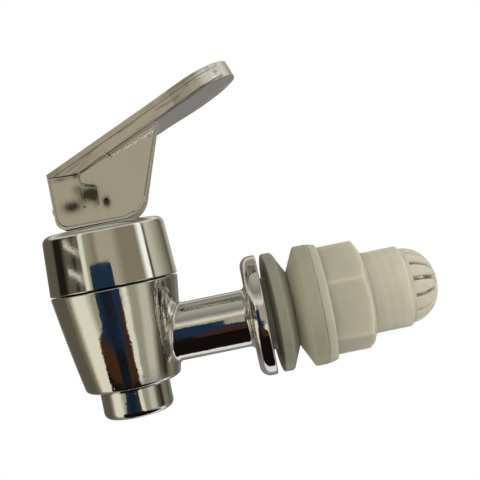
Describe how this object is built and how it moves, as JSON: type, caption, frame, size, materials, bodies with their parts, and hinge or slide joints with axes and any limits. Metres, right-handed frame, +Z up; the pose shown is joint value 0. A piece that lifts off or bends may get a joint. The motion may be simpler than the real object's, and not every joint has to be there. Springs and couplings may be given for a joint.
{
  "type": "beverage dispenser spigot",
  "caption": "Chromed tap for a drinks dispenser, with a paddle lever, a tapered cup and nozzle, silicone wall washers and a slotted strainer nut.",
  "frame": {"origin": "centre of the flange's sealing face, on the shank's axis", "axes": "+X along the shank into the vessel, +Z up, nozzle pointing down and the user facing -X side"},
  "size_m": [0.094, 0.0316, 0.0812],
  "materials": {
    "chromed_body": "mirror-bright plating",
    "chromed_bonnet": "mirror-bright plating",
    "chromed_lever": "mirror-bright plating over a moulding",
    "stem_plastic": "moulded",
    "seat_silicone": "soft, smooth",
    "spring_wire": "drawn wire",
    "washer_silicone": "translucent, satin",
    "nut_plastic": "natural, slightly translucent"
  },
  "bodies": {
    "body": {"spigot_body": "chromed_body", "bonnet": "chromed_bonnet", "seat_cup": "seat_silicone", "outer_washer": "washer_silicone"},
    "swivel": {"return_spring": "spring_wire"},
    "stem": {"valve_stem": "stem_plastic"},
    "handle": {"lever": "chromed_lever"},
    "clamp": {"inner_washer": "washer_silicone"},
    "nut": {"strainer_nut": "nut_plastic"}
  },
  "joints": [
    {"name": "lever_swivel", "type": "hinge", "parent": "body", "child": "swivel", "pos_m": [-0.0355, 0, 0.0294], "axis": [0, 0, 1], "continuous": true},
    {"name": "stem_lift", "type": "slide", "parent": "swivel", "child": "stem", "axis": [0, 0, 1], "range_m": [0, 0.00303], "stiffness_N_per_m": 600, "springref_m": -0.006, "deforming": ["return_spring", "seat_cup"]},
    {"name": "lever_tilt", "type": "hinge", "parent": "stem", "child": "handle", "pos_m": [-0.0355, 0, 0.0336], "axis": [-0.0872, 0.9962, 0], "range_deg": [0, 25]},
    {"name": "washer_slide", "type": "slide", "parent": "body", "child": "clamp", "axis": [1, 0, 0], "range_m": [0, 0.012]},
    {"name": "nut_turn", "type": "hinge", "parent": "clamp", "child": "nut", "pos_m": [0.0129, 0, 0], "axis": [1, 0, 0], "range_deg": [0, 1800]}
  ],
  "couplings": [
    {"joint": "lever_tilt", "follows": "stem_lift", "rad_per_m": 143.88},
    {"joint": "nut_turn", "follows": "washer_slide", "rad_per_m": 2618}
  ]
}
